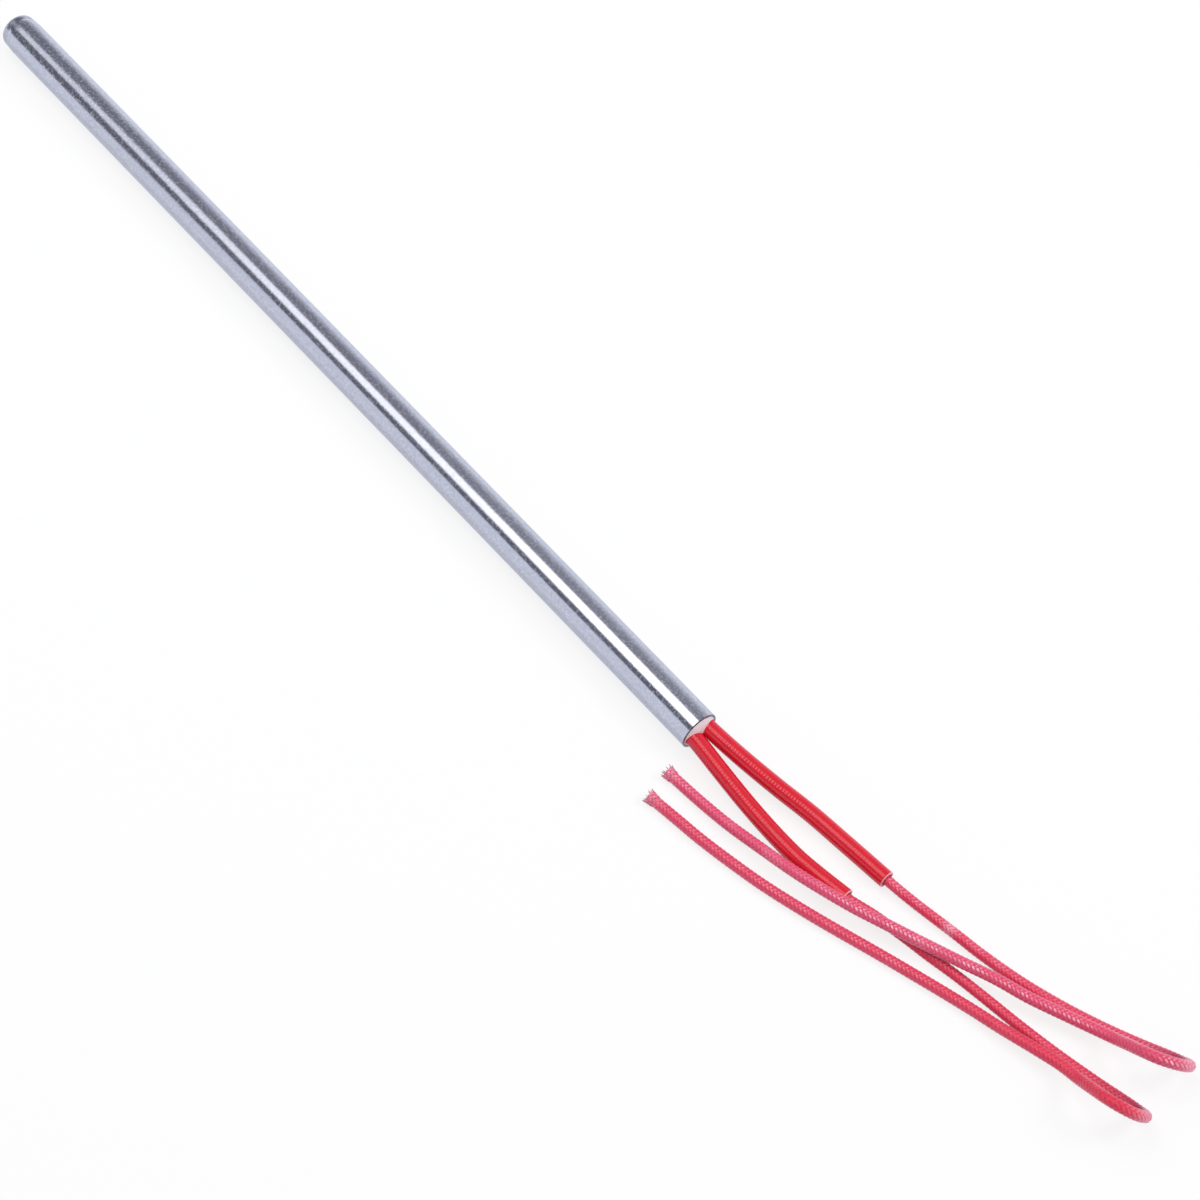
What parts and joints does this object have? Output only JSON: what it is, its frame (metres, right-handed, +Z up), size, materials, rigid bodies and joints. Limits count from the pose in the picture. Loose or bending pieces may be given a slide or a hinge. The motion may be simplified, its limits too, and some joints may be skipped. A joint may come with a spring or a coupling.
{
  "type": "cartridge heater",
  "caption": "Slim steel-sheathed cartridge heater with a rounded blunt end, red sleeves and folded braided leads; slides into a bored block to heat it.",
  "frame": {"origin": "on the surface it lies on, under the middle of the sheath", "axes": "+X along the sheath from the nose to the leads, +Z up"},
  "size_m": [0.4026, 0.0482, 0.013],
  "materials": {
    "sheath_steel": "ground bright stainless",
    "cap_steel": "welded and ground stainless",
    "core_ceramic": "matte fired ceramic",
    "oxide": "packed magnesium oxide powder",
    "resistance_wire": "oxidised nickel-chromium wire",
    "nickel": "drawn nickel",
    "mica": "mica sheet",
    "cement": "white sealing cement",
    "sleeve_red": "glossy coated glass-fibre sleeve",
    "braid_pink": "braided glass fibre"
  },
  "bodies": {
    "root": {"sheath": "sheath_steel", "end_cap": "cap_steel", "tip_spacer": "core_ceramic", "core_1": "core_ceramic", "core_2": "core_ceramic", "core_3": "core_ceramic", "core_4": "core_ceramic", "core_cold": "core_ceramic", "resistance_coil": "resistance_wire", "short_pin": "nickel", "long_pin": "nickel", "oxide_fill": "oxide", "lead_bush": "core_ceramic", "crimp_a": "nickel", "crimp_b": "nickel", "conductor_a": "nickel", "conductor_b": "nickel", "mica_washer": "mica", "potting": "cement", "sleeve_a": "sleeve_red", "sleeve_b": "sleeve_red", "lead_a": "braid_pink", "lead_b": "braid_pink"}
  },
  "joints": []
}
